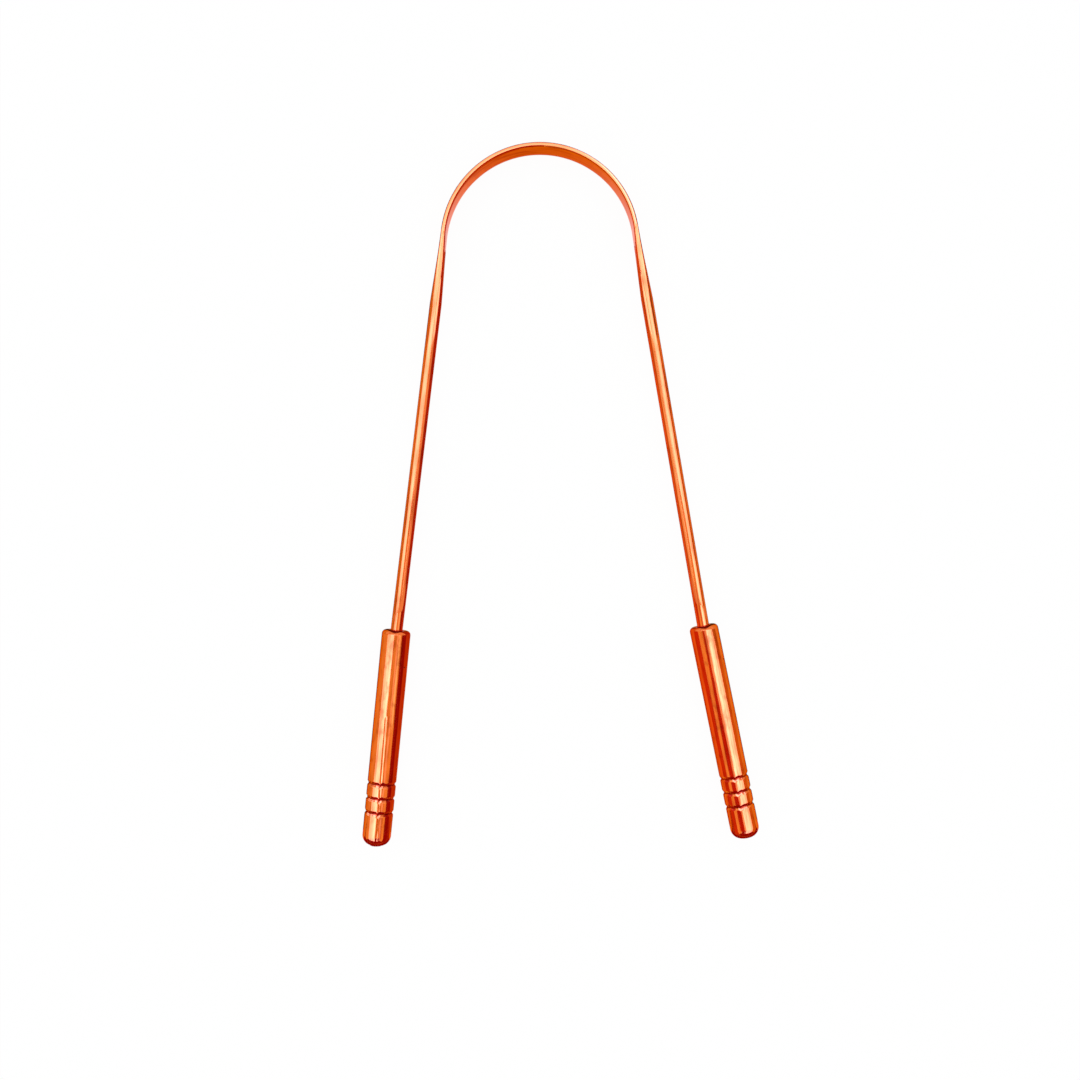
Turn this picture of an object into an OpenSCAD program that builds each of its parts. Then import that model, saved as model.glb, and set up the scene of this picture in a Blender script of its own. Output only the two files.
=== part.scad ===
// Copper tongue scraper: one springy wire, rolled flat where it runs round the bow,
// with a turned copper grip pressed on each end.
// The part lies flat on a surface, bow towards +Y and grips towards -Y. The origin is on
// that surface, at the middle of the part's footprint. All sizes are in millimetres.

/* [Wire] */
// Diameter of the round wire that the arms are made of
wire_d = 2.5; // [2:0.1:3]
// Width that the wire is rolled out to round the bow, from one scraping edge to the other
ribbon_w = 6; // [4:0.5:8]
// Thickness of the rolled ribbon
ribbon_t = 1; // [0.5:0.1:1.2]
// Length over which the ribbon draws back into round wire, from the end of the bow
taper_l = 15; // [8:1:25]

/* [Bow and arms] */
// Radius of the bow, to the middle of the ribbon
bow_r = 20.2; // [15:0.1:26]
// Angle at which each arm spreads from the centre line, in degrees
splay = 8.3; // [2:0.1:14]
// Length of the left arm, from the end of the bow to the mouth of its grip
left_arm_l = 83.7; // [60:0.1:110]
// Length of the right arm, a little more, because the wire is bent by hand
right_arm_l = 84.4; // [60:0.1:110]

/* [Grips] */
// Diameter of the grips
grip_d = 6; // [5:0.5:9]
// Length of the grips
grip_l = 45.2; // [35:0.1:60]
// Angle by which the left grip leans in off its arm, because it is drilled askew, in degrees
left_lean = 1.3; // [-3:0.1:3]
// Angle by which the right grip leans in off its arm, in degrees, less than zero being outwards
right_lean = -1.8; // [-3:0.1:3]
// Radius of the rounded rim at the mouth of a grip
rim_r = 0.9; // [0.4:0.1:1]
// Radius of the rounded free end of a grip
end_r = 2.1; // [1:0.1:2.3]

/* [Grooves] */
// Number of grooves turned round each grip
groove_n = 3; // [1:1:5]
// Distance from one groove to the next
groove_pitch = 3; // [2:0.1:4]
// Distance from the free end of the grip to the nearest groove
groove_start = 7; // [5:0.5:12]
// Width of a groove at the surface
groove_w = 1.1; // [0.8:0.1:1.6]
// Depth of a groove
groove_depth = 0.3; // [0.2:0.05:0.6]

/* [Joint between wire and grip] */
// Depth to which the wire is pressed into its grip
seat_l = 15; // [10:1:20]
// Gap drawn round the pressed wire
seat_gap = 0.01; // [0.01:0.01:0.05]
// Diameter of the countersink at the mouth of the bore
mouth_d = 3.1; // [3.1:0.1:3.6]

/* [Hidden] */
$fn = 96;

// Shape of the wire's section: exponent of the superellipse, 2 being a circle
round_power = 2;
ribbon_power = 6;
section_points = 40;
taper_rings = 20;
// Share of the taper's change of slope that is eased in at its two ends
taper_ease_share = 0.2;
// The taper runs this far into the ribbon and into the round wire, a hair inside their skin
taper_lap = 0.3;
taper_inset = 0.01;
// Chamfer on the wire's cut ends
tip_chamfer = 0.3;
// Room between the wire's end and the bottom of its bore
seat_end_room = 0.5;
// Included angle of the twist drill that makes the bore
drill_point = 118;
// Stub that the parting tool left on the free end of the left grip
stub_d = 2.6;
stub_h = 0.15;
arc_steps = 12;
overrun = 1;

grip_r = grip_d / 2;
bore_d = wire_d + 2 * seat_gap;
bore_l = seat_l + seat_end_room;
// Height of the wire's centre line over the surface that the part lies on
wire_z = max(grip_d, ribbon_w) / 2;

// The two sides, -1 being the left one and 1 the right one
function arm_l(side) = side < 0 ? left_arm_l : right_arm_l;
function lean(side) = side < 0 ? left_lean : right_lean;
function slant(side) = splay - lean(side);

// Footprint, from the centre of the bow. A grip reaches furthest on its rounded end.
function mouth_aside(side) = bow_r * cos(splay) + arm_l(side) * sin(splay);
function mouth_down(side) = arm_l(side) * cos(splay) - bow_r * sin(splay);
function reach_aside(side) = mouth_aside(side) + end_r
    + (grip_l - end_r) * sin(slant(side)) + (grip_r - end_r) * cos(slant(side));
function reach_down(side) = mouth_down(side) + end_r
    + (grip_l - end_r) * cos(slant(side)) + (grip_r - end_r) * sin(slant(side));
function stub_down(side) = mouth_down(side)
    + (grip_l + stub_h) * cos(slant(side)) + stub_d / 2 * sin(slant(side));
bow_centre = [
    (reach_aside(-1) - reach_aside(1)) / 2,
    (max(reach_down(-1), reach_down(1), stub_down(-1)) - bow_r - ribbon_t / 2) / 2,
    wire_z
];

function signed_power(v, p) = sign(v) * pow(abs(v), p);

// Outline of the wire where it is t thick, in the plane of the bow, and w wide, across it.
function wire_outline(t, w, power) = [
    for (i = [0:section_points - 1])
        let (a = 360 * i / section_points)
        [t / 2 * signed_power(cos(a), 2 / power), w / 2 * signed_power(sin(a), 2 / power)]
];

// The taper at share u of its length, 0 being the ribbon and 1 the round wire. The
// thickness grows almost evenly, and the width follows it as the metal keeps its volume.
function eased(u) = u - taper_ease_share * sin(360 * u) / (2 * PI);
function taper_t(u) = ribbon_t + (wire_d - ribbon_t) * eased(u);
function roundness(u) = ln(taper_t(u) / ribbon_t) / ln(wire_d / ribbon_t);
function taper_w(u) = ribbon_w * pow(wire_d / ribbon_w, roundness(u));
function taper_power(u) = ribbon_power + (round_power - ribbon_power) * roundness(u);

// Points of an arc about a centre, from angle a to angle b.
function arc(centre, r, a, b) = [
    for (i = [0:arc_steps])
        let (t = a + (b - a) * i / arc_steps)
        [centre[0] + r * cos(t), centre[1] + r * sin(t)]
];

// Puts its children at the end of the bow on one side, with the arm running along -Y.
module on_arm(side) {
    translate(bow_centre)
        mirror([side < 0 ? 1 : 0, 0, 0])
            rotate([0, 0, splay])
                translate([bow_r, 0, 0])
                    children();
}

module ribbon_bow() {
    translate(bow_centre)
        rotate([0, 0, splay])
            rotate_extrude(angle = 180 - 2 * splay)
                translate([bow_r, 0])
                    polygon(wire_outline(ribbon_t, ribbon_w, ribbon_power));
}

// Loft from the ribbon's section to the round wire's, along -Y.
module taper() {
    stations = concat(
        [[taper_lap, 0]],
        [for (j = [0:taper_rings]) [-taper_l * j / taper_rings, j / taper_rings]],
        [[-taper_l - taper_lap, 1]]
    );
    skin = 2 * taper_inset;
    points = [
        for (s = stations)
            for (p = wire_outline(taper_t(s[1]) - skin, taper_w(s[1]) - skin, taper_power(s[1])))
                [p[0], s[0], p[1]]
    ];
    n = section_points;
    last = (len(stations) - 1) * n;
    sides = [
        for (j = [0:len(stations) - 2], i = [0:n - 1])
            let (a = j * n + i, b = j * n + (i + 1) % n)
            each [[a, a + n, b], [b, a + n, b + n]]
    ];
    caps = [[for (i = [0:n - 1]) i], [for (i = [0:n - 1]) last + n - 1 - i]];
    polyhedron(points, concat(sides, caps));
}

// Round wire from the taper to its chamfered end, deep in the grip.
module round_wire(side) {
    end_l = arm_l(side) + seat_l;
    rotate([90, 0, 0]) {
        translate([0, 0, taper_l])
            cylinder(d = wire_d, h = end_l - tip_chamfer - taper_l);
        translate([0, 0, end_l - tip_chamfer])
            cylinder(d1 = wire_d, d2 = wire_d - 2 * tip_chamfer, h = tip_chamfer);
    }
}

module scraper_wire() {
    color("#d9692b")
        union() {
            ribbon_bow();
            for (side = [-1, 1])
                on_arm(side) {
                    taper();
                    round_wire(side);
                }
        }
}

// Half section of a grip, from its mouth at 0 up to its free end.
module grip_section() {
    grooves = [
        for (i = [groove_n - 1:-1:0])
            let (s = grip_l - groove_start - i * groove_pitch)
            each [
                [grip_r, s - groove_w / 2],
                [grip_r - groove_depth, s],
                [grip_r, s + groove_w / 2]
            ]
    ];
    polygon(concat(
        [[0, 0]],
        arc([grip_r - rim_r, rim_r], rim_r, -90, 0),
        grooves,
        arc([grip_r - end_r, grip_l - end_r], end_r, 0, 90),
        [[0, grip_l]]
    ));
}

// Blind drilled bore with its countersunk mouth, from the grip's mouth inwards.
module drilled_bore() {
    sink = (mouth_d - bore_d) / 2;
    point_l = bore_d / 2 / tan(drill_point / 2);
    translate([0, 0, -overrun])
        cylinder(d = bore_d, h = bore_l + overrun);
    translate([0, 0, bore_l])
        cylinder(d1 = bore_d, d2 = 0, h = point_l);
    translate([0, 0, -overrun])
        cylinder(d1 = mouth_d + 2 * overrun, d2 = bore_d, h = sink + overrun);
}

module grip(side, with_stub) {
    color("#c85a1e")
        on_arm(side)
            translate([0, -arm_l(side), 0])
                difference() {
                    rotate([0, 0, -lean(side)])
                        rotate([90, 0, 0]) {
                            rotate_extrude()
                                grip_section();
                            if (with_stub)
                                translate([0, 0, grip_l - end_r / 2])
                                    cylinder(d = stub_d, h = end_r / 2 + stub_h);
                        }
                    rotate([90, 0, 0])
                        drilled_bore();
                }
}

module left_grip() {
    grip(-1, true);
}

module right_grip() {
    grip(1, false);
}

scraper_wire();
left_grip();
right_grip();
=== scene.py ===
import math

import bpy
import numpy as np
from mathutils import Matrix, Vector, noise


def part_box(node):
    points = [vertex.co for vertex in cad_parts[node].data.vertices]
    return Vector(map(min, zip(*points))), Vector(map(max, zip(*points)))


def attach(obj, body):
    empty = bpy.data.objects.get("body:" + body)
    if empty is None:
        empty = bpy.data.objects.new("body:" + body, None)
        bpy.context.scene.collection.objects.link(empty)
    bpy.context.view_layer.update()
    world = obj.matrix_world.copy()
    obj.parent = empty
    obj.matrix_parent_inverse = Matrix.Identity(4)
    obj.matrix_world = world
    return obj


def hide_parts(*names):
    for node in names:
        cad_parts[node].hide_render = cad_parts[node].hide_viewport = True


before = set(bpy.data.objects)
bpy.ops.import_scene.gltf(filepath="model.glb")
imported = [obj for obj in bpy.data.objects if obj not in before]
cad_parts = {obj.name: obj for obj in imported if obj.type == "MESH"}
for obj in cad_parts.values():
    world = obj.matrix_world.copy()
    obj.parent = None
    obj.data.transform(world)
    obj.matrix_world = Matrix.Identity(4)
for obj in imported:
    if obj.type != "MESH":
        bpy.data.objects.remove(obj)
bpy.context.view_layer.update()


# The wire: one length of hard-drawn copper, rolled flat round the bow into a ribbon that
# stands on edge and left round along both arms, then bent round a former and buffed by hand.
# Its cut ends are pressed deep into the grips. Lengths are in millimetres.
MM = 0.001
WIRE_D = 2.5
RIBBON_W = 6.0
RIBBON_T = 1.0
TAPER_L = 15.0
BOW_R = 20.2
LEFT_ARM_L = 83.7
RIGHT_ARM_L = 84.4
SEAT_L = 15.0
SPLAY = math.radians(8.3)
TIP_CHAMFER = 0.3
ROUND_POWER = 2
RIBBON_POWER = 6
TAPER_EASE_SHARE = 0.2
WIRE_SIDES = 96
BOW_STEP = 0.3
ARM_STEP = 0.6
# Rolling and drawing leave the skin a little uneven, with low hollows a few millimetres long.
SWELL_H = 0.006
SWELL_W = 2.5
SWELL_L = 9.0
# The ribbon's edges are rubbed bright, but for this width at their outer corners, where a brown
# line of shade is painted instead. The number after it is how far the mark drops there.
EDGE_SHADE_W = 0.38
EDGE_SHADE_DROP = 4.5
EDGE_MARK_POWER = 8
SHARP_ANGLE = math.radians(40)

COPPER = "ee7024"
TONED_COPPER = "e0651e"
DEEP_COPPER = "a83a0c"
RUBBED_COPPER = "ee7c28"
TARNISH = "9a300a"
EDGE_SHADE_BROWN = "6a3410"
PIT_BROWN = "5a1c04"
GRAZING_COPPER = "f8adaa"
DIE_LINE_W = 0.45     # real die lines are finer, too fine to show
DIE_LINE_L = 10.0
DIE_LINE_H = 0.003
PATCH_W = 2.5
PATCH_L = 7.0
# Pits lie in cells of this width, one cell in ten holding one, and the shares are of a cell.
PIT_CELL = 2.7
PIT_CHANCE = 0.1
PIT_RADIUS_SHARE = 0.12
PIT_SLOPE_SHARE = 0.04
PIT_H = 0.02
PIT_ROUGHNESS = 0.6

wire_low, wire_high = (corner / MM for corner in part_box("scraper_wire"))
bow_centre = Vector((
    (wire_low.x + wire_high.x - (RIGHT_ARM_L - LEFT_ARM_L) * math.sin(SPLAY)) / 2,
    wire_high.y - BOW_R - RIBBON_T / 2,
    (wire_low.z + wire_high.z) / 2,
))
bow_l = BOW_R * (math.pi / 2 - SPLAY)


def half_l(side):
    """Length from the crown of the bow to the mouth of the grip on this side, -1 being left."""
    return bow_l + (LEFT_ARM_L if side < 0 else RIGHT_ARM_L)


def wire_place(s):
    """Centre of the wire s mm from the crown, less than zero on the left, and its ways ahead
    and outwards."""
    side = math.copysign(1, s)
    turn = min(abs(s), bow_l) / BOW_R
    outwards = Vector((side * math.sin(turn), math.cos(turn), 0))
    ahead = Vector((side * math.cos(turn), -math.sin(turn), 0))
    return bow_centre + outwards * BOW_R + ahead * max(0, abs(s) - bow_l), ahead, outwards


def wire_section(s):
    """Thickness, width and superellipse power of the wire s mm from the crown."""
    u = min(1, max(0, (abs(s) - bow_l) / TAPER_L))
    eased = u - TAPER_EASE_SHARE * math.sin(2 * math.pi * u) / (2 * math.pi)
    t = RIBBON_T + (WIRE_D - RIBBON_T) * eased
    roundness = math.log(t / RIBBON_T) / math.log(WIRE_D / RIBBON_T)
    w = RIBBON_W * (WIRE_D / RIBBON_W) ** roundness
    cut = 2 * max(0, abs(s) - (half_l(s) + SEAT_L - TIP_CHAMFER))
    return t - cut, w - cut, RIBBON_POWER + (ROUND_POWER - RIBBON_POWER) * roundness


def loft(name, rings, stock, mark_name, marks):
    """A closed mesh through rings of points, with a fan on each end. stock holds where each
    point was on the straight bar, and marks one number a point, such as how rubbed it is."""
    m = len(rings[0])
    last = (len(rings) - 1) * m
    fan = last + m
    faces = [
        (j + i, j + (i + 1) % m, j + m + (i + 1) % m, j + m + i)
        for j in range(0, last, m) for i in range(m)
    ]
    faces += [(fan, (i + 1) % m, i) for i in range(m)]
    faces += [(fan + 1, last + i, last + (i + 1) % m) for i in range(m)]
    mesh = bpy.data.meshes.new(name)
    points, places = (
        [p * MM for ring in rows for p in ring] + [sum(rows[j], Vector()) * MM / m for j in (0, -1)]
        for rows in (rings, stock)
    )
    mesh.from_pydata(points, [], faces)
    mesh.attributes.new("stock", "FLOAT_VECTOR", "POINT").data.foreach_set(
        "vector", np.array(places, np.float32).ravel())
    levels = [v for ring in marks for v in ring] + [marks[0][0], marks[-1][0]]
    mesh.attributes.new(mark_name, "FLOAT", "POINT").data.foreach_set(
        "value", np.array(levels, np.float32))
    mesh.shade_smooth()
    mesh.set_sharp_from_angle(angle=SHARP_ANGLE)
    piece = bpy.data.objects.new(name, mesh)
    bpy.context.scene.collection.objects.link(piece)
    return piece


def wire_ring(s):
    """Points round the wire s mm from the crown, where they were on the bar, and a mark for
    each: up to 1 where the ribbon's edges are rubbed, and less than zero on their outer corners,
    where shade is painted."""
    centre, ahead, outwards = wire_place(s)
    t, w, power = wire_section(s)
    flatness = (power - ROUND_POWER) / (RIBBON_POWER - ROUND_POWER)
    ring, stock, rubbed_and_shaded = [], [], []
    for i in range(WIRE_SIDES):
        a = 2 * math.pi * i / WIRE_SIDES
        x = t / 2 * math.copysign(abs(math.cos(a)) ** (2 / power), math.cos(a))
        z = w / 2 * math.copysign(abs(math.sin(a)) ** (2 / power), math.sin(a))
        normal = Vector((
            math.copysign(abs(2 * x / t) ** (power - 1), x) / t,
            math.copysign(abs(2 * z / w) ** (power - 1), z) / w,
        )).normalized()
        place = Vector((x, z, s))
        swell = noise.noise(Vector((x / SWELL_W, z / SWELL_W, s / SWELL_L))) - 1
        x += swell * SWELL_H * normal.x
        z += swell * SWELL_H * normal.y
        ring.append(centre + outwards * x + Vector((0, 0, z)))
        stock.append(place)
        # A brown line of shade is painted on the outer corners of the ribbon's edges.
        edge_shade = EDGE_SHADE_DROP * min(1, max(0, (place.x - t / 2) / EDGE_SHADE_W + 1))
        rubbed_and_shaded.append(flatness * abs(2 * place.y / w) ** EDGE_MARK_POWER * (1 - edge_shade))
    return ring, stock, rubbed_and_shaded


def half_stations(side):
    """Distances from the crown of the rings on one side, closer together round the bow."""
    end = half_l(side) + SEAT_L
    bow = np.arange(BOW_STEP, bow_l + TAPER_L, BOW_STEP)
    arm = np.arange(bow_l + TAPER_L, end - TIP_CHAMFER, ARM_STEP)
    return [*bow, *arm, end - TIP_CHAMFER, end]


stations = [-s for s in reversed(half_stations(-1))] + [0.0] + half_stations(1)
rings, places, marks = zip(*(wire_ring(s) for s in stations))
wire = loft("copper_wire", rings, places, "rubbed_and_shaded", marks)


def srgb(code):
    """Linear RGBA of an sRGB hex value."""
    parts = [int(code[i:i + 2], 16) / 255 for i in (0, 2, 4)]
    return [c / 12.92 if c <= 0.04045 else ((c + 0.055) / 1.055) ** 2.4 for c in parts] + [1.0]


def add(tree, kind, inputs=None, **settings):
    """Adds a node with its settings, and with its inputs set or linked. Gives its first output
    in use, and the others are reached through that output's node."""
    made = tree.nodes.new(kind)
    for name, value in settings.items():
        setattr(made, name, value)
    for name, value in (inputs or {}).items():
        if isinstance(name, int):
            socket = made.inputs[name]
        else:
            socket = next(s for s in made.inputs if s.name == name and s.enabled)
        if isinstance(value, bpy.types.NodeSocket):
            tree.links.new(value, socket)
        else:
            socket.default_value = value
    return next((s for s in made.outputs if s.enabled), None)


def per_mm(*lengths):
    """The texture scale at which one unit of a pattern is this many millimetres each way."""
    return [1 / (length * MM) for length in lengths]


def new_finish(name):
    """An empty material, its nodes, and each point's place on the straight bar."""
    finish = bpy.data.materials.new(name)
    finish.use_nodes = True
    tree = finish.node_tree
    tree.nodes.clear()
    place = add(tree, "ShaderNodeAttribute", attribute_name="stock")
    return finish, tree, place.node.outputs["Vector"]


def pits(tree, stock):
    """Round pits of different sizes, at most one in a cell: 1 inside them and 0 outside."""
    near = add(tree, "ShaderNodeTexVoronoi", {
        "Vector": add(tree, "ShaderNodeMapping", {
            "Vector": stock, "Scale": per_mm(PIT_CELL, PIT_CELL, PIT_CELL)}),
        "Scale": 1.0})
    chance = add(tree, "ShaderNodeSeparateColor", {"Color": near.node.outputs["Color"]})
    radius = add(tree, "ShaderNodeMapRange", {
        "Value": chance, "From Min": 1 - PIT_CHANCE, "To Max": PIT_RADIUS_SHARE})
    inside = add(tree, "ShaderNodeMath", {0: radius, 1: near}, operation="SUBTRACT")
    return add(tree, "ShaderNodeMapRange", {"Value": inside, "From Max": PIT_SLOPE_SHARE})


def copper_shader(tree, colour, roughness, height):
    """Bare copper. height is the fine relief in mm, and copper stays orange at grazing angles."""
    relief = add(tree, "ShaderNodeBump", {"Height": height, "Distance": MM})
    shader = add(tree, "ShaderNodeBsdfPrincipled", {
        "Base Color": colour, "Metallic": 1.0, "Roughness": roughness,
        "Specular Tint": srgb(GRAZING_COPPER), "Normal": relief})
    add(tree, "ShaderNodeOutputMaterial", {"Surface": shader})


# Drawn copper, buffed. To the eye it is a clear orange mirror, broken along the wire by die
# lines and by patches of deeper tone and tarnish. The ribbon's edges are rubbed paler, with a
# painted brown line of shade on their outer corners, and the few pits are dark and matt.
drawn_copper, tree, stock = new_finish("drawn_copper_buffed")
rubbed_and_shaded = add(tree, "ShaderNodeAttribute", attribute_name="rubbed_and_shaded").node.outputs["Fac"]
die_lines = add(tree, "ShaderNodeTexNoise", {
    "Vector": add(tree, "ShaderNodeMapping", {
        "Vector": stock, "Scale": per_mm(DIE_LINE_W, DIE_LINE_W, DIE_LINE_L)}),
    "Scale": 1.0, "Detail": 3.0, "Roughness": 0.6})
patches = add(tree, "ShaderNodeTexNoise", {
    "Vector": add(tree, "ShaderNodeMapping", {
        "Vector": stock, "Scale": per_mm(PATCH_W, PATCH_W, PATCH_L)}),
    "Scale": 1.0, "Detail": 4.0, "Roughness": 0.55})
pitted = pits(tree, stock)
toned = add(tree, "ShaderNodeMix", {
    "Factor": add(tree, "ShaderNodeMapRange", {
        "Value": patches, "From Min": 0.42, "From Max": 0.65}),
    "A": srgb(COPPER), "B": srgb(TONED_COPPER)}, data_type="RGBA")
tarnished = add(tree, "ShaderNodeMix", {
    "Factor": add(tree, "ShaderNodeMapRange", {
        "Value": patches, "From Min": 0.6, "From Max": 0.75, "To Max": 0.5}),
    "A": toned, "B": srgb(TARNISH)}, data_type="RGBA")
lined = add(tree, "ShaderNodeMix", {
    "Factor": add(tree, "ShaderNodeMapRange", {
        "Value": die_lines, "From Min": 0.5, "From Max": 0.72, "To Max": 0.6}),
    "A": tarnished, "B": srgb(DEEP_COPPER)}, data_type="RGBA")
edged = add(tree, "ShaderNodeMix", {
    "Factor": add(tree, "ShaderNodeMapRange", {"Value": rubbed_and_shaded, "To Max": 0.6}),
    "A": lined, "B": srgb(RUBBED_COPPER)}, data_type="RGBA")
# Painted shade: a brown line on the outer corners of the ribbon's edges.
edge_shaded = add(tree, "ShaderNodeMix", {
    "Factor": add(tree, "ShaderNodeMapRange", {
        "Value": rubbed_and_shaded, "From Min": -0.2, "From Max": -1.0, "To Max": 0.95}),
    "A": edged, "B": srgb(EDGE_SHADE_BROWN)}, data_type="RGBA")
colour = add(tree, "ShaderNodeMix", {
    "Factor": pitted, "A": edge_shaded, "B": srgb(PIT_BROWN)}, data_type="RGBA")
gloss = add(tree, "ShaderNodeMapRange", {
    "Value": patches, "From Min": 0.3, "From Max": 0.7, "To Min": 0.08, "To Max": 0.15})
roughness = add(tree, "ShaderNodeMix", {
    "Factor": pitted, "A": gloss, "B": PIT_ROUGHNESS}, data_type="FLOAT")
height = add(tree, "ShaderNodeMath", {
    0: die_lines, 1: DIE_LINE_H,
    2: add(tree, "ShaderNodeMath", {0: pitted, 1: -PIT_H}, operation="MULTIPLY"),
}, operation="MULTIPLY_ADD")
copper_shader(tree, colour, roughness, height)
wire.data.materials.append(drawn_copper)
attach(wire, "root")
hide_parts("scraper_wire")


# The grips: two copper bars, turned with three V grooves near the free end, rounded at both
# ends, drilled for the wire and polished. They are pressed on, a little askew. The parting
# tool left a torn stub on the left one.
GRIP_D = 6.0
GRIP_L = 45.2
# Angles by which the grips are turned off their arms, anticlockwise from above.
LEFT_LEAN = math.radians(1.3)
RIGHT_LEAN = math.radians(1.8)
RIM_R = 0.9
END_R = 2.1
GROOVE_N = 3
GROOVE_PITCH = 3.0
GROOVE_START = 7.0
GROOVE_H = 0.3
# The tool stood a little askew: a groove falls over more of its width than it rises.
GROOVE_FALL_W = 0.62
GROOVE_RISE_W = 0.5
GROOVE_ROUNDING_SHARE = 0.15
# The metal that the tool pushed up stands beside a groove in a low lip, whose width is a share
# of the groove's half width, and which dies away over four such widths.
LIP_H = 0.01
LIP_W = 0.15
LIP_REACH = 4
CHATTER_W = 0.7
CHATTER_L = 0.2
CHATTER_OWN_SHARE = 0.4
# All three grooves of a grip have a nick near its top line, where the tool ended its cut.
NICK_W = 0.25
NICK_L = 0.22
LEFT_NICK_TURN = math.radians(88)
RIGHT_NICK_TURN = math.radians(96)
MOUTH_D = 3.1
SEAT_GAP = 0.01
SEAT_END_ROOM = 0.5
BORE_D = WIRE_D + 2 * SEAT_GAP
BORE_L = SEAT_L + SEAT_END_ROOM
DRILL_POINT = math.radians(118)
DRILL_TIP_R = 0.05
STUB_D = 2.6
STUB_H = 0.15
STUB_GAP = 0.03
STUB_RING_SHARES = (0.96, 0.8, 0.6, 0.4, 0.2, 0.04)
# The stub broke off lower on one side and rough, by these shares of its height.
STUB_TEAR = 0.4
STUB_TEAR_TILT = 0.25
STUB_TEAR_NOISE = 0.3
STUB_TEAR_W = 0.5
END_RING_SHARES = (0.75, 0.5, 0.25, 0.05)
GRIP_SIDES = 160
FINE_STEP = 0.075
COARSE_EVERY = 5
ARC_STEPS = 20
GRIP_SWELL_H = 0.012
GRIP_SWELL_W = 3.0
GRIP_SWELL_L = 8.0

HOLLOW_SHADE_RED = "901404"
MOUTH_SHADOW_BROWN = "701003"
TURNING_LINE_W = 0.25   # turning marks are finer, too fine to show
TURNING_LINE_L = 2.5
TURNING_LINE_H = 0.0015
SCRATCH_W = 0.45
SCRATCH_L = 6.0
SCRATCH_H = 0.004
TARNISH_W = 2.0
TARNISH_L = 4.0
# A shadow is painted round the mouth, reaching further along the grip's top and bottom lines.
MOUTH_SHADOW_L = 0.1
MOUTH_SHADOW_TOP_GAIN = 3.5
MOUTH_SHADOW_POWER = 12
# How hollow a point is: 1 at the bottom of a groove or in the bore, where shade is painted, and
# less than zero on a lip. Two levels of their own stand for the shadow painted round the mouth
# and for the stub's torn face.
BORE_LEVEL = 1
MOUTH_SHADOW_LEVEL = 2
TORN_LEVEL = 0.5
# A long scratch on the left grip, near its top line, runs from here to the free end.
SCORE_START = 18.0
SCORE_TURN = math.radians(92)
SCORE_TURN_PER_MM = math.radians(-0.35)
SCORE_W = 0.5
SCORE_L = 1.5
SCORE_H = 0.07
SCORE_MEAN_SHARE = 0.6

grip_r = GRIP_D / 2
bore_r = BORE_D / 2
mouth_r = MOUTH_D / 2
groove_places = [GRIP_L - GROOVE_START - i * GROOVE_PITCH for i in range(GROOVE_N)]


def arc(centre_d, centre_r, radius, start, end):
    """Points of an outline's arc, as distance along the grip and radius."""
    angles = [start + (end - start) * i / ARC_STEPS for i in range(ARC_STEPS + 1)]
    return [(centre_d - radius * math.cos(a), centre_r + radius * math.sin(a)) for a in angles]


def groove_relief(d, turn_place, nick_turn):
    """How deep the grooves cut d mm along the grip, less their raised lips, and how hollow the
    place is. The tool chattered on its way round, much alike in each groove."""
    shake = turn_place / CHATTER_W
    nick_place = grip_r * Vector((math.cos(nick_turn), math.sin(nick_turn)))
    nick = NICK_L * math.exp(-((turn_place.xy - nick_place).length / NICK_W) ** 2)
    for i, middle in enumerate(groove_places):
        own_shake = CHATTER_OWN_SHARE * noise.noise(shake + Vector((0, 0, i + 1)))
        along = d - middle + CHATTER_L * (noise.noise(shake) + own_shake) - nick
        across = abs(along) / (GROOVE_FALL_W if along < 0 else GROOVE_RISE_W)
        if across < 1 + LIP_REACH * LIP_W:
            rounding = GROOVE_ROUNDING_SHARE
            depth = max(0, 1 - math.hypot(across, rounding) + rounding * (1 - across))
            lip = math.exp(-((across - 1) / LIP_W) ** 2)
            lip *= (1 + noise.noise(shake + Vector((0, 0, i + GROOVE_N)))) / 2
            return GROOVE_H * depth - LIP_H * lip, depth - lip
    return 0, 0


def score_relief(d, turn):
    """Depth of the long scratch d mm along the grip, at this angle round it."""
    middle = SCORE_TURN + SCORE_TURN_PER_MM * (d - SCORE_START)
    across = (turn - middle) * grip_r / (SCORE_W / 2)
    if d < SCORE_START or abs(across) > 1:
        return 0
    drag = (1 - SCORE_MEAN_SHARE) * noise.noise(Vector((0, 0, d / SCORE_L)))
    return SCORE_H * (1 - across ** 2) * (SCORE_MEAN_SHARE + drag)


def grip_outline(with_stub):
    """Distance along the grip and radius, from the bottom of its bore, out of the mouth and
    along the barrel to the middle of the free end. Also the number of rings in the bore."""
    drill_tip = (BORE_L + bore_r / math.tan(DRILL_POINT / 2), DRILL_TIP_R)
    bore = [drill_tip, (BORE_L, bore_r), (mouth_r - bore_r, bore_r)]
    outline = [*bore, (0.0, mouth_r), *arc(RIM_R, grip_r - RIM_R, RIM_R, 0, math.pi / 2)]
    fine = np.arange(RIM_R + FINE_STEP, GRIP_L - END_R, FINE_STEP)
    near_groove = [min(abs(d - g) for g in groove_places) < 2 * GROOVE_FALL_W for d in fine]
    outline += [(d, grip_r) for i, d in enumerate(fine) if near_groove[i] or i % COARSE_EVERY == 0]
    end = arc(GRIP_L - END_R, grip_r - END_R, END_R, math.pi / 2, math.pi)
    if with_stub:
        stub_r = STUB_D / 2
        outline += [p for p in end if p[1] > stub_r + STUB_GAP] + [(GRIP_L, stub_r)]
        outline += [(GRIP_L + STUB_H, stub_r * share) for share in STUB_RING_SHARES]
    else:
        outline += end + [(GRIP_L, end[-1][1] * share) for share in END_RING_SHARES]
    return outline, len(bore)


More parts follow.
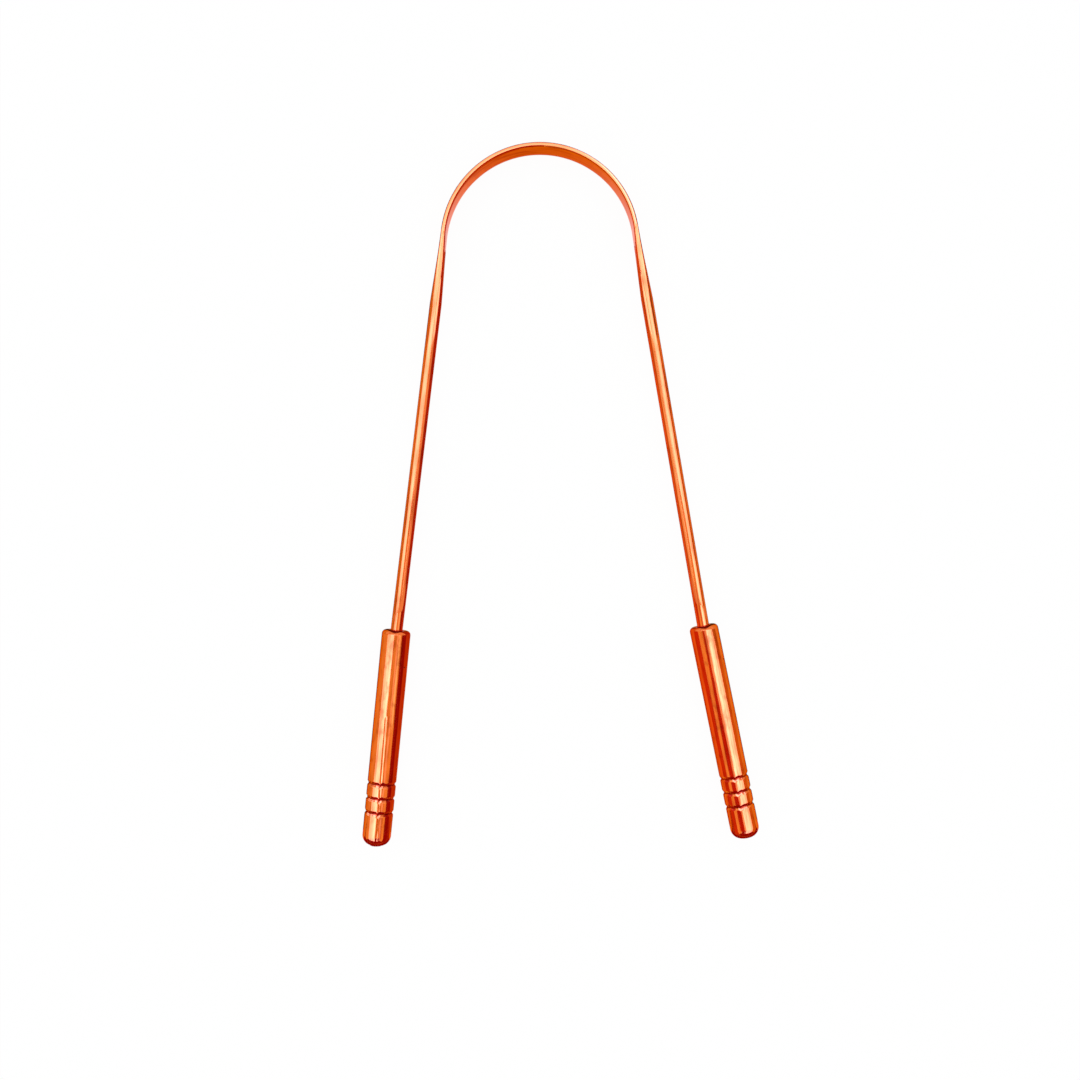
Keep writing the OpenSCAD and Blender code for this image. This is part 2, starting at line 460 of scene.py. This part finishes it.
def grip(name, side, lean, with_stub):
    """One grip, on the end of the arm on this side."""
    mouth, arm_ahead, _ = wire_place(side * half_l(side))
    axis = Matrix.Rotation(lean, 3, "Z") @ arm_ahead
    up = Vector((0, 0, 1))
    aside = up.cross(axis)
    outline, bore_rings = grip_outline(with_stub)
    nick_turn = LEFT_NICK_TURN if side < 0 else RIGHT_NICK_TURN
    rings, stock, hollow = [], [], []
    for j, (d, r) in enumerate(outline):
        ring, places, hollows = [], [], []
        # The bore follows the arm, so its middle drifts off the grip's own axis.
        drift = -d * math.tan(lean) if j < bore_rings else 0
        for i in range(GRIP_SIDES):
            a = 2 * math.pi * i / GRIP_SIDES
            place = Vector((r * math.cos(a), r * math.sin(a), 0))
            cut, level = 0, BORE_LEVEL
            if j >= bore_rings:
                cut, level = groove_relief(d, place, nick_turn)
            if j > bore_rings:
                swell_place = place / GRIP_SWELL_W + Vector((side, 0, d / GRIP_SWELL_L))
                cut += GRIP_SWELL_H * (1 - noise.noise(swell_place)) * min(1, r / grip_r)
                if side < 0 and r > grip_r - END_R:
                    cut += score_relief(d, a)
                # Painted shadow round the mouth, reaching further along the top and bottom lines.
                if d < MOUTH_SHADOW_L * (1 + MOUTH_SHADOW_TOP_GAIN * math.sin(a) ** MOUTH_SHADOW_POWER):
                    level = MOUTH_SHADOW_LEVEL
            torn = 0
            if d > GRIP_L:
                bump = STUB_TEAR_NOISE * noise.noise(place / STUB_TEAR_W)
                torn = max(0, STUB_H * (STUB_TEAR + STUB_TEAR_TILT * math.cos(a) + bump))
                level = TORN_LEVEL
            reach = r - cut
            point = mouth + axis * (d - torn) + aside * (reach * math.cos(a) + drift)
            ring.append(point + up * reach * math.sin(a))
            places.append(place + Vector((0, 0, d)))
            hollows.append(level)
        rings.append(ring)
        stock.append(places)
        hollow.append(hollows)
    return loft(name, rings, stock, "hollow", hollow)


# Turned copper, polished. To the eye it is the same clear mirror, with faint rings from the
# turning, scratches and patches of tarnish from use, and paler lips beside the grooves. Deep red
# shade is painted in the grooves and the bore, and a brown shadow round the mouth.
turned_copper, tree, stock = new_finish("turned_copper_polished")
hollow = add(tree, "ShaderNodeAttribute", attribute_name="hollow").node.outputs["Fac"]
turning_lines = add(tree, "ShaderNodeTexNoise", {
    "Vector": add(tree, "ShaderNodeMapping", {
        "Vector": stock, "Scale": per_mm(TURNING_LINE_L, TURNING_LINE_L, TURNING_LINE_W)}),
    "Scale": 1.0, "Detail": 3.0, "Roughness": 0.6})
scratches = add(tree, "ShaderNodeTexNoise", {
    "Vector": add(tree, "ShaderNodeMapping", {
        "Vector": stock, "Scale": per_mm(SCRATCH_W, SCRATCH_W, SCRATCH_L)}),
    "Scale": 1.0, "Detail": 3.0, "Roughness": 0.6})
patches = add(tree, "ShaderNodeTexNoise", {
    "Vector": add(tree, "ShaderNodeMapping", {
        "Vector": stock, "Scale": per_mm(TARNISH_W, TARNISH_W, TARNISH_L)}),
    "Scale": 1.0, "Detail": 4.0, "Roughness": 0.55})
pitted = pits(tree, stock)
toned = add(tree, "ShaderNodeMix", {
    "Factor": add(tree, "ShaderNodeMapRange", {
        "Value": patches, "From Min": 0.45, "From Max": 0.7}),
    "A": srgb(COPPER), "B": srgb(TONED_COPPER)}, data_type="RGBA")
tarnished = add(tree, "ShaderNodeMix", {
    "Factor": add(tree, "ShaderNodeMapRange", {
        "Value": patches, "From Min": 0.57, "From Max": 0.74, "To Max": 0.7}),
    "A": toned, "B": srgb(TARNISH)}, data_type="RGBA")
scratched = add(tree, "ShaderNodeMix", {
    "Factor": add(tree, "ShaderNodeMapRange", {
        "Value": scratches, "From Min": 0.48, "From Max": 0.72, "To Max": 0.65}),
    "A": tarnished, "B": srgb(DEEP_COPPER)}, data_type="RGBA")
# Painted shade: deep red in the bottoms of the grooves and in the bore.
hollow_shaded = add(tree, "ShaderNodeMix", {
    "Factor": add(tree, "ShaderNodeMapRange", {
        "Value": hollow, "From Min": 0.66, "From Max": 0.95, "To Max": 0.92}),
    "A": scratched, "B": srgb(HOLLOW_SHADE_RED)}, data_type="RGBA")
# Painted shadow: brown round the mouth where the wire goes in.
mouth_shadowed = add(tree, "ShaderNodeMix", {
    "Factor": add(tree, "ShaderNodeMapRange", {
        "Value": hollow, "From Min": 1.1, "From Max": 1.8}),
    "A": hollow_shaded, "B": srgb(MOUTH_SHADOW_BROWN)}, data_type="RGBA")
edged = add(tree, "ShaderNodeMix", {
    "Factor": add(tree, "ShaderNodeMapRange", {
        "Value": hollow, "From Min": -0.2, "From Max": -0.9, "To Max": 0.6}),
    "A": mouth_shadowed, "B": srgb(RUBBED_COPPER)}, data_type="RGBA")
colour = add(tree, "ShaderNodeMix", {
    "Factor": pitted, "A": edged, "B": srgb(PIT_BROWN)}, data_type="RGBA")
gloss = add(tree, "ShaderNodeMapRange", {
    "Value": patches, "From Min": 0.3, "From Max": 0.7, "To Min": 0.06, "To Max": 0.13})
roughness = add(tree, "ShaderNodeMix", {
    "Factor": pitted, "A": gloss, "B": PIT_ROUGHNESS}, data_type="FLOAT")
height = add(tree, "ShaderNodeMath", {
    0: scratches, 1: SCRATCH_H,
    2: add(tree, "ShaderNodeMath", {
        0: turning_lines, 1: TURNING_LINE_H,
        2: add(tree, "ShaderNodeMath", {0: pitted, 1: -PIT_H}, operation="MULTIPLY"),
    }, operation="MULTIPLY_ADD"),
}, operation="MULTIPLY_ADD")
copper_shader(tree, colour, roughness, height)

for name, side, lean, with_stub in (
        ("left_grip", -1, LEFT_LEAN, True), ("right_grip", 1, RIGHT_LEAN, False)):
    piece = grip(f"copper_{name}", side, lean, with_stub)
    piece.data.materials.append(turned_copper)
    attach(piece, "root")
    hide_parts(name)


# The table: white card that the scraper lies on. It shows white to the camera and nearly so in
# the metal, and keeps the soft shadow of the room's even light.
TABLE_WHITE = "fbfbfb"
TABLE_SIZE = 6000.0
TABLE_DROP = 0.02     # a hair under the metal and the cards
PAPER_GRAIN_W = 1.11
PAPER_GRAIN_H = 0.02
SEEN_WHITE_SHARE = 0.96
MIRRORED_WHITE_SHARE = 0.3

# White card, matt. To the eye it is an even white without gloss, barely grained.
table_card = bpy.data.materials.new("matt_white_card")
table_card.use_nodes = True
tree = table_card.node_tree
tree.nodes.clear()
path = add(tree, "ShaderNodeLightPath").node.outputs
whitened = add(tree, "ShaderNodeMath", {
    0: path["Is Camera Ray"], 1: SEEN_WHITE_SHARE,
    2: add(tree, "ShaderNodeMath", {
        0: add(tree, "ShaderNodeMath", {
            0: path["Is Glossy Ray"], 1: path["Is Transmission Ray"]}, operation="MAXIMUM"),
        1: MIRRORED_WHITE_SHARE}, operation="MULTIPLY"),
}, operation="MULTIPLY_ADD")
grain = add(tree, "ShaderNodeTexNoise", {
    "Vector": add(tree, "ShaderNodeTexCoord").node.outputs["Object"],
    "Scale": 1 / (PAPER_GRAIN_W * MM), "Detail": 4.0})
paper = add(tree, "ShaderNodeBsdfPrincipled", {
    "Base Color": srgb(TABLE_WHITE), "Roughness": 0.9, "Specular IOR Level": 0.0,
    "Normal": add(tree, "ShaderNodeBump", {"Height": grain, "Distance": PAPER_GRAIN_H * MM})})
glow = add(tree, "ShaderNodeEmission", {"Strength": 1.0})
add(tree, "ShaderNodeOutputMaterial", {
    "Surface": add(tree, "ShaderNodeMixShader", {"Fac": whitened, 1: paper, 2: glow})})

table_mesh = bpy.data.meshes.new("table")
reach = TABLE_SIZE / 2 * MM
table_mesh.from_pydata(
    [(x * reach, y * reach, -TABLE_DROP * MM) for x, y in ((-1, -1), (1, -1), (1, 1), (-1, 1))],
    [], [(0, 1, 2, 3)])
table = bpy.data.objects.new("table", table_mesh)
table_mesh.materials.append(table_card)
bpy.context.scene.collection.objects.link(table)


# The light: an even white room, and windows that show only in the metal. They hang over the
# arms and the grips, dimmer further out, and higher up over the bow, the whitest to its right,
# and three stand far beyond it. Their red is low, because copper gives nearly all red back.

# The windows over the grips reach up to SIDE_SPLIT, and those over the arms on from there.
SIDE_HEIGHT = 150.0
SIDE_LOW = -250.0
SIDE_SPLIT = -30.0
SIDE_HIGH = 100.0
TOP_HEIGHT = 300.0
END_PLACE = 600.0
WINDOW_LIGHT = (0.5, 1.0, 5.8)
WHITE_WINDOW_LIGHT = (0.5, 1.0, 7.5)
END_WINDOW_LIGHT = (0.35, 1.0, 8.0)
NEAR_LEVEL = 3.9
MIDDLE_LEVEL = 3.0
FAR_LEVEL = 2.0
DIM_LEVEL = 0.5
BRIGHT_LEVEL = 5.0
GRIP_WINDOW_GAIN = 1.2

room = bpy.data.worlds.new("white_room")
bpy.context.scene.world = room
room.use_nodes = True
room.node_tree.nodes["Background"].inputs["Color"].default_value = (1, 1, 1, 1)
room.node_tree.nodes["Background"].inputs["Strength"].default_value = 1.0


def window(name, low, high, level, tilt=0.0, colour=WINDOW_LIGHT):
    """A soft lamp facing down between two corners, or tilted up towards -Y, whose brightness
    is level times its colour."""
    low, high = Vector(low) * MM, Vector(high) * MM
    light = bpy.data.lights.new(name, "AREA")
    light.shape = "RECTANGLE"
    light.size = high.x - low.x
    light.size_y = math.hypot(high.y - low.y, high.z - low.z)
    light.color = [c / max(colour) for c in colour]
    light.energy = level * max(colour) * math.pi * light.size * light.size_y
    lamp = bpy.data.objects.new(name, light)
    lamp.location = (low + high) / 2
    lamp.rotation_euler = (-tilt, 0, 0)
    lamp.visible_camera = False
    lamp.visible_diffuse = False
    bpy.context.scene.collection.objects.link(lamp)


for name, left, right, level in (
        ("left", -110, -59, NEAR_LEVEL), ("left_middle", -185, -110, MIDDLE_LEVEL),
        ("left_far", -317, -185, FAR_LEVEL), ("right", 55, 110, NEAR_LEVEL),
        ("right_middle", 110, 185, MIDDLE_LEVEL), ("right_far", 185, 306, FAR_LEVEL),
        ("right_frame", 12, 55, DIM_LEVEL)):
    window(f"{name}_grip_window", (left, SIDE_LOW, SIDE_HEIGHT), (right, SIDE_SPLIT, SIDE_HEIGHT),
           level * GRIP_WINDOW_GAIN)
for name, left, right, level in (
        ("left", -110, -44, NEAR_LEVEL), ("left_middle", -185, -110, MIDDLE_LEVEL),
        ("left_far", -317, -185, FAR_LEVEL), ("right", 50, 110, NEAR_LEVEL),
        ("right_middle", 110, 185, MIDDLE_LEVEL), ("right_far", 185, 306, FAR_LEVEL)):
    window(f"{name}_arm_window", (left, SIDE_SPLIT, SIDE_HEIGHT), (right, SIDE_HIGH, SIDE_HEIGHT),
           level)
for name, left, right, near, far, level, colour in (
        ("overhead_window", -62, 79, 5, 118, MIDDLE_LEVEL, WINDOW_LIGHT),
        ("left_overhead_window", -62, 22, 118, 135, MIDDLE_LEVEL, WINDOW_LIGHT),
        ("bow_window", -142, 22, 135, 220, FAR_LEVEL, WINDOW_LIGHT),
        ("right_overhead_window", 22, 33, 118, 220, MIDDLE_LEVEL, WINDOW_LIGHT),
        ("right_bow_window", 33, 79, 118, 220, BRIGHT_LEVEL, WHITE_WINDOW_LIGHT)):
    window(name, (left, near, TOP_HEIGHT), (right, far, TOP_HEIGHT), level, colour=colour)
for name, left, right, low, high in (
        ("end_window", -500, 500, 200, 600), ("left_end_window", -1100, -500, 10, 480),
        ("right_end_window", 500, 1100, 10, 480)):
    window(name, (left, END_PLACE, low), (right, END_PLACE, high), NEAR_LEVEL, math.pi / 2,
           END_WINDOW_LIGHT)


# Cards that show only in the metal and colour its bands. Flags with white screens over them
# stand between the arms and between the grips, and walls beside them. Mats of painted table shade
# lie along the metal and in steps under the bow, and more flags hang over the right grip and
# beyond the free ends.

# A colour is the light that a card gives off, red, green and blue, 1 being the room's white.
DEEP_RED = (0.36, 0.012, 0.010)
DARK_RED = (0.47, 0.07, 0.05)
RED = (0.72, 0.10, 0.02)
DEEP_ORANGE_RED = (0.63, 0.05, 0.012)
ORANGE_RED = (0.70, 0.33, 0.13)
BROWN_RED = (0.62, 0.15, 0.06)
ROSE = (0.95, 0.46, 0.33)
AMBER = (0.76, 0.43, 0.13)
DULL_AMBER = (0.64, 0.40, 0.12)
PALE_ROSE = (0.85, 1.1, 2.0)
SAND = (0.72, 0.62, 0.25)
DULL_ROSE = (0.65, 0.43, 0.4)
BROWN = (0.42, 0.28, 0.05)
DARK_BROWN = (0.2, 0.11, 0.015)
PALE_BROWN = (0.65, 0.32, 0.05)
WHITE = (1.08, 1.1, 1.1)
PALE_WHITE = (1.05, 1.15, 2.3)
BRIGHT_WHITE = (1.15, 1.6, 3.5)
GLOWING_WHITE = (1.4, 2.4, 6.0)
EDGE_MAT_W = 3.0
EDGE_MAT_HEIGHT = 0.3
INNER_MAT_START = 2.0
# The flags stand just left and right of the middle. The grips' flags reach from beyond the free
# ends to the mouths, and the arms' flags from there.
LEFT_FLAG_X = -2
RIGHT_FLAG_X = 0
BEYOND_Y = -130
MOUTH_Y = -27
HIGH_FLAG_HEIGHT = 50
# The steps under the bow paint the table's light and shade there: each is narrower, darker and
# higher than the last, and the ones that the sides of the bow show are palest.
BOW_MAT_CORNERS = 25
BOW_MAT_STEPS = 12
BOW_MAT_RADIUS = 20
BOW_MAT_SPREAD = 90
BOW_MAT_SPREAD_STEP = 7
BOW_MAT_LIGHT = 1.12
BOW_MAT_LIGHT_STEP = 0.03
BOW_MAT_HEIGHT = 0.1
BOW_MAT_HEIGHT_STEP = 0.01
PALEST_SPREAD = 60
PALE_SPREAD_W = 20
BOW_MAT_TINT = (1, 1.05, 1)
PALE_TINT = (0.05, 0.4, 0.3)


def flag(name, corners, colour):
    """A card that glows evenly and shows only in the metal, as its plain colour."""
    mesh = bpy.data.meshes.new(name)
    mesh.from_pydata([Vector(corner) * MM for corner in corners], [], [range(len(corners))])
    felt = bpy.data.materials.new(name)
    felt.use_nodes = True
    felt.node_tree.nodes.clear()
    add(felt.node_tree, "ShaderNodeOutputMaterial", {
        "Surface": add(felt.node_tree, "ShaderNodeEmission", {"Color": (*colour, 1.0)})})
    mesh.materials.append(felt)
    card = bpy.data.objects.new(name, mesh)
    for ray in ("camera", "diffuse", "transmission", "shadow", "volume_scatter"):
        setattr(card, f"visible_{ray}", False)
    bpy.context.scene.collection.objects.link(card)


def standing(name, x, near, far, low, high, colour):
    """A card that stands along the arms at x, from near to far and from low to high."""
    flag(name, [(x, near, low), (x, far, low), (x, far, high), (x, near, high)], colour)


def crossing(name, y, left, right, low, high, colour):
    """A card that stands across the scraper at y, from left to right and from low to high."""
    flag(name, [(left, y, low), (right, y, low), (right, y, high), (left, y, high)], colour)


def lying(name, left, right, near, far, colour):
    """A card on the table."""
    flag(name, [(left, near, 0), (right, near, 0), (right, far, 0), (left, far, 0)], colour)


def under_bow(name, turns, radii, height, colour):
    """A card under the bow, between two turns from its crown, in degrees, and with a radius at
    each of them."""
    corners = [Vector((bow_centre.x, bow_centre.y, height))]
    for share in np.linspace(0, 1, BOW_MAT_CORNERS):
        turn = math.radians(turns[0] + (turns[1] - turns[0]) * share)
        radius = radii[0] + (radii[1] - radii[0]) * share
        corners.append(corners[0] + Vector((math.sin(turn), math.cos(turn), 0)) * radius)
    flag(name, corners, colour)


def beside(name, start, ahead, length, inner, outwards, colour):
    """A narrow card on the table along one edge of an arm or a grip: a painted shadow there."""
    near, far = outwards * inner, outwards * (inner + EDGE_MAT_W)
    foot = Vector((start.x, start.y, EDGE_MAT_HEIGHT))
    end = foot + ahead * length
    flag(name, [foot + near, foot + far, end + far, end + near], colour)


standing("left_arm_flag", LEFT_FLAG_X, MOUTH_Y, 58, 0, 15, DARK_RED)
standing("left_arm_screen", LEFT_FLAG_X, MOUTH_Y, 35, 15, 50, PALE_WHITE)
standing("right_arm_flag", RIGHT_FLAG_X, MOUTH_Y, 58, 0, 15, ORANGE_RED)
standing("right_arm_screen", RIGHT_FLAG_X, MOUTH_Y, 35, 15, 50, BRIGHT_WHITE)
standing("left_grip_flag", LEFT_FLAG_X, BEYOND_Y, MOUTH_Y, 0, 26, DEEP_RED)
standing("left_grip_screen", LEFT_FLAG_X, BEYOND_Y, MOUTH_Y, 26, 64, WHITE)
standing("left_grip_glow", -2.5, -60, MOUTH_Y, 34, 56, GLOWING_WHITE)
standing("right_grip_flag", RIGHT_FLAG_X, BEYOND_Y, MOUTH_Y, 0, 24, RED)
standing("right_grip_screen", RIGHT_FLAG_X, BEYOND_Y, MOUTH_Y, 24, 64, WHITE)
standing("outer_grip_flag", 120, BEYOND_Y, MOUTH_Y, 0, 48, AMBER)
standing("outer_arm_flag", 120, MOUTH_Y, 60, 0, 62, DULL_AMBER)
standing("left_bow_flag", LEFT_FLAG_X, 50, 70, 0, 25, DEEP_RED)
standing("right_bow_flag", RIGHT_FLAG_X, 50, 70, 0, 25, PALE_ROSE)
crossing("bow_flag", 45, -14, 12, 0, 30, DARK_RED)
crossing("rim_screen", -24, -85, 85, 4.8, 24, PALE_WHITE)
# Painted shadow of the table between the arms and the grips and beyond the free ends, seen only in
# the metal.
lying("left_arm_mat", -31, LEFT_FLAG_X, MOUTH_Y, 52, DARK_RED)
lying("left_grip_mat", -31, LEFT_FLAG_X, BEYOND_Y, MOUTH_Y, BROWN_RED)
lying("right_mat", RIGHT_FLAG_X, 29, BEYOND_Y, 52, ROSE)
lying("mat_beyond", -140, 140, -165, -73.5, DEEP_RED)
standing("left_arm_wall", -55, MOUTH_Y, 57, 0, 20, SAND)
standing("left_bow_wall", -55, 57, 110, 0, 33, BROWN)
standing("right_bow_wall", 53, 42, 110, 0, 33, BROWN)
crossing("far_bow_wall", 110, -55, 53, 0, 28, BROWN)
under_bow("outer_bow_mat", (-90, 90), (45, 45), 0, BROWN)
for i in range(BOW_MAT_STEPS):
    spread = BOW_MAT_SPREAD - BOW_MAT_SPREAD_STEP * i
    light = BOW_MAT_LIGHT - BOW_MAT_LIGHT_STEP * i
    paleness = math.exp(-((spread - PALEST_SPREAD) / PALE_SPREAD_W) ** 2)
    colour = [light * (tint + pale * paleness) for tint, pale in zip(BOW_MAT_TINT, PALE_TINT)]
    under_bow(f"bow_mat_{i}", (-spread, spread), (BOW_MAT_RADIUS, BOW_MAT_RADIUS),
              BOW_MAT_HEIGHT + BOW_MAT_HEIGHT_STEP * i, colour)
# Painted shade at the foot of the bow's inner face, seen only in the metal.
under_bow("left_inner_bow_mat", (-90, -10), (19.2, 17.7), 0.25, DULL_ROSE)
under_bow("inner_bow_mat", (-90, 90), (16.5, 16.5), 0.3, DARK_RED)
# Painted shadow of the table along each edge of the arms and grips, seen only in the metal: dark
# outside, paler inside.
for side, label in ((-1, "left"), (1, "right")):
    start, ahead, outwards = wire_place(side * bow_l)
    mouth, _, _ = wire_place(side * half_l(side))
    axis = Matrix.Rotation(LEFT_LEAN if side < 0 else RIGHT_LEAN, 3, "Z") @ ahead
    grip_outwards = Vector((-axis.y, axis.x, 0)) * side
    arm_l = half_l(side) - bow_l
    grip_mat_l = GRIP_L - END_R
    beside(f"{label}_arm_outer_mat", start, ahead, arm_l, WIRE_D / 2, outwards, DARK_BROWN)
    beside(f"{label}_arm_inner_mat", start + ahead * INNER_MAT_START, ahead, arm_l - INNER_MAT_START,
           WIRE_D / 2, -outwards, PALE_BROWN)
    beside(f"{label}_grip_outer_mat", mouth, axis, grip_mat_l, grip_r, grip_outwards, DARK_BROWN)
    beside(f"{label}_grip_inner_mat", mouth, axis, grip_mat_l, grip_r, -grip_outwards, PALE_BROWN)
for name, corners, colour in (
        ("flag_over_right", ((18, -25), (23, -25), (28, -50), (8.5, -50)), RED),
        ("flag_over_right_end", ((8.5, -50), (28, -50), (37, -95), (-8.5, -95)), DEEP_ORANGE_RED)):
    flag(name, [(x, y, HIGH_FLAG_HEIGHT) for x, y in corners], colour)
crossing("flag_beyond", -300, -500, 500, 0, 640, DEEP_RED)


# The camera: straight above, a quarter of a metre away, and turned very slightly.
CAMERA_FROM_BOW = Vector((-1.55, -61.83, 240.0))
CAMERA_TURN = math.radians(-1.46)
CLIP_START = 10.0
FRAME_PIXELS = 1080
FOCAL_PIXELS = 1145
SENSOR_W = 36.0

camera_data = bpy.data.cameras.new("camera")
camera_data.sensor_width = SENSOR_W
camera_data.lens = FOCAL_PIXELS / FRAME_PIXELS * SENSOR_W
camera_data.clip_start = CLIP_START * MM
camera = bpy.data.objects.new("camera", camera_data)
camera.location = (bow_centre + CAMERA_FROM_BOW) * MM
camera.rotation_euler = (0, 0, CAMERA_TURN)
bpy.context.scene.collection.objects.link(camera)
bpy.context.scene.camera = camera
bpy.context.scene.view_settings.view_transform = "Standard"
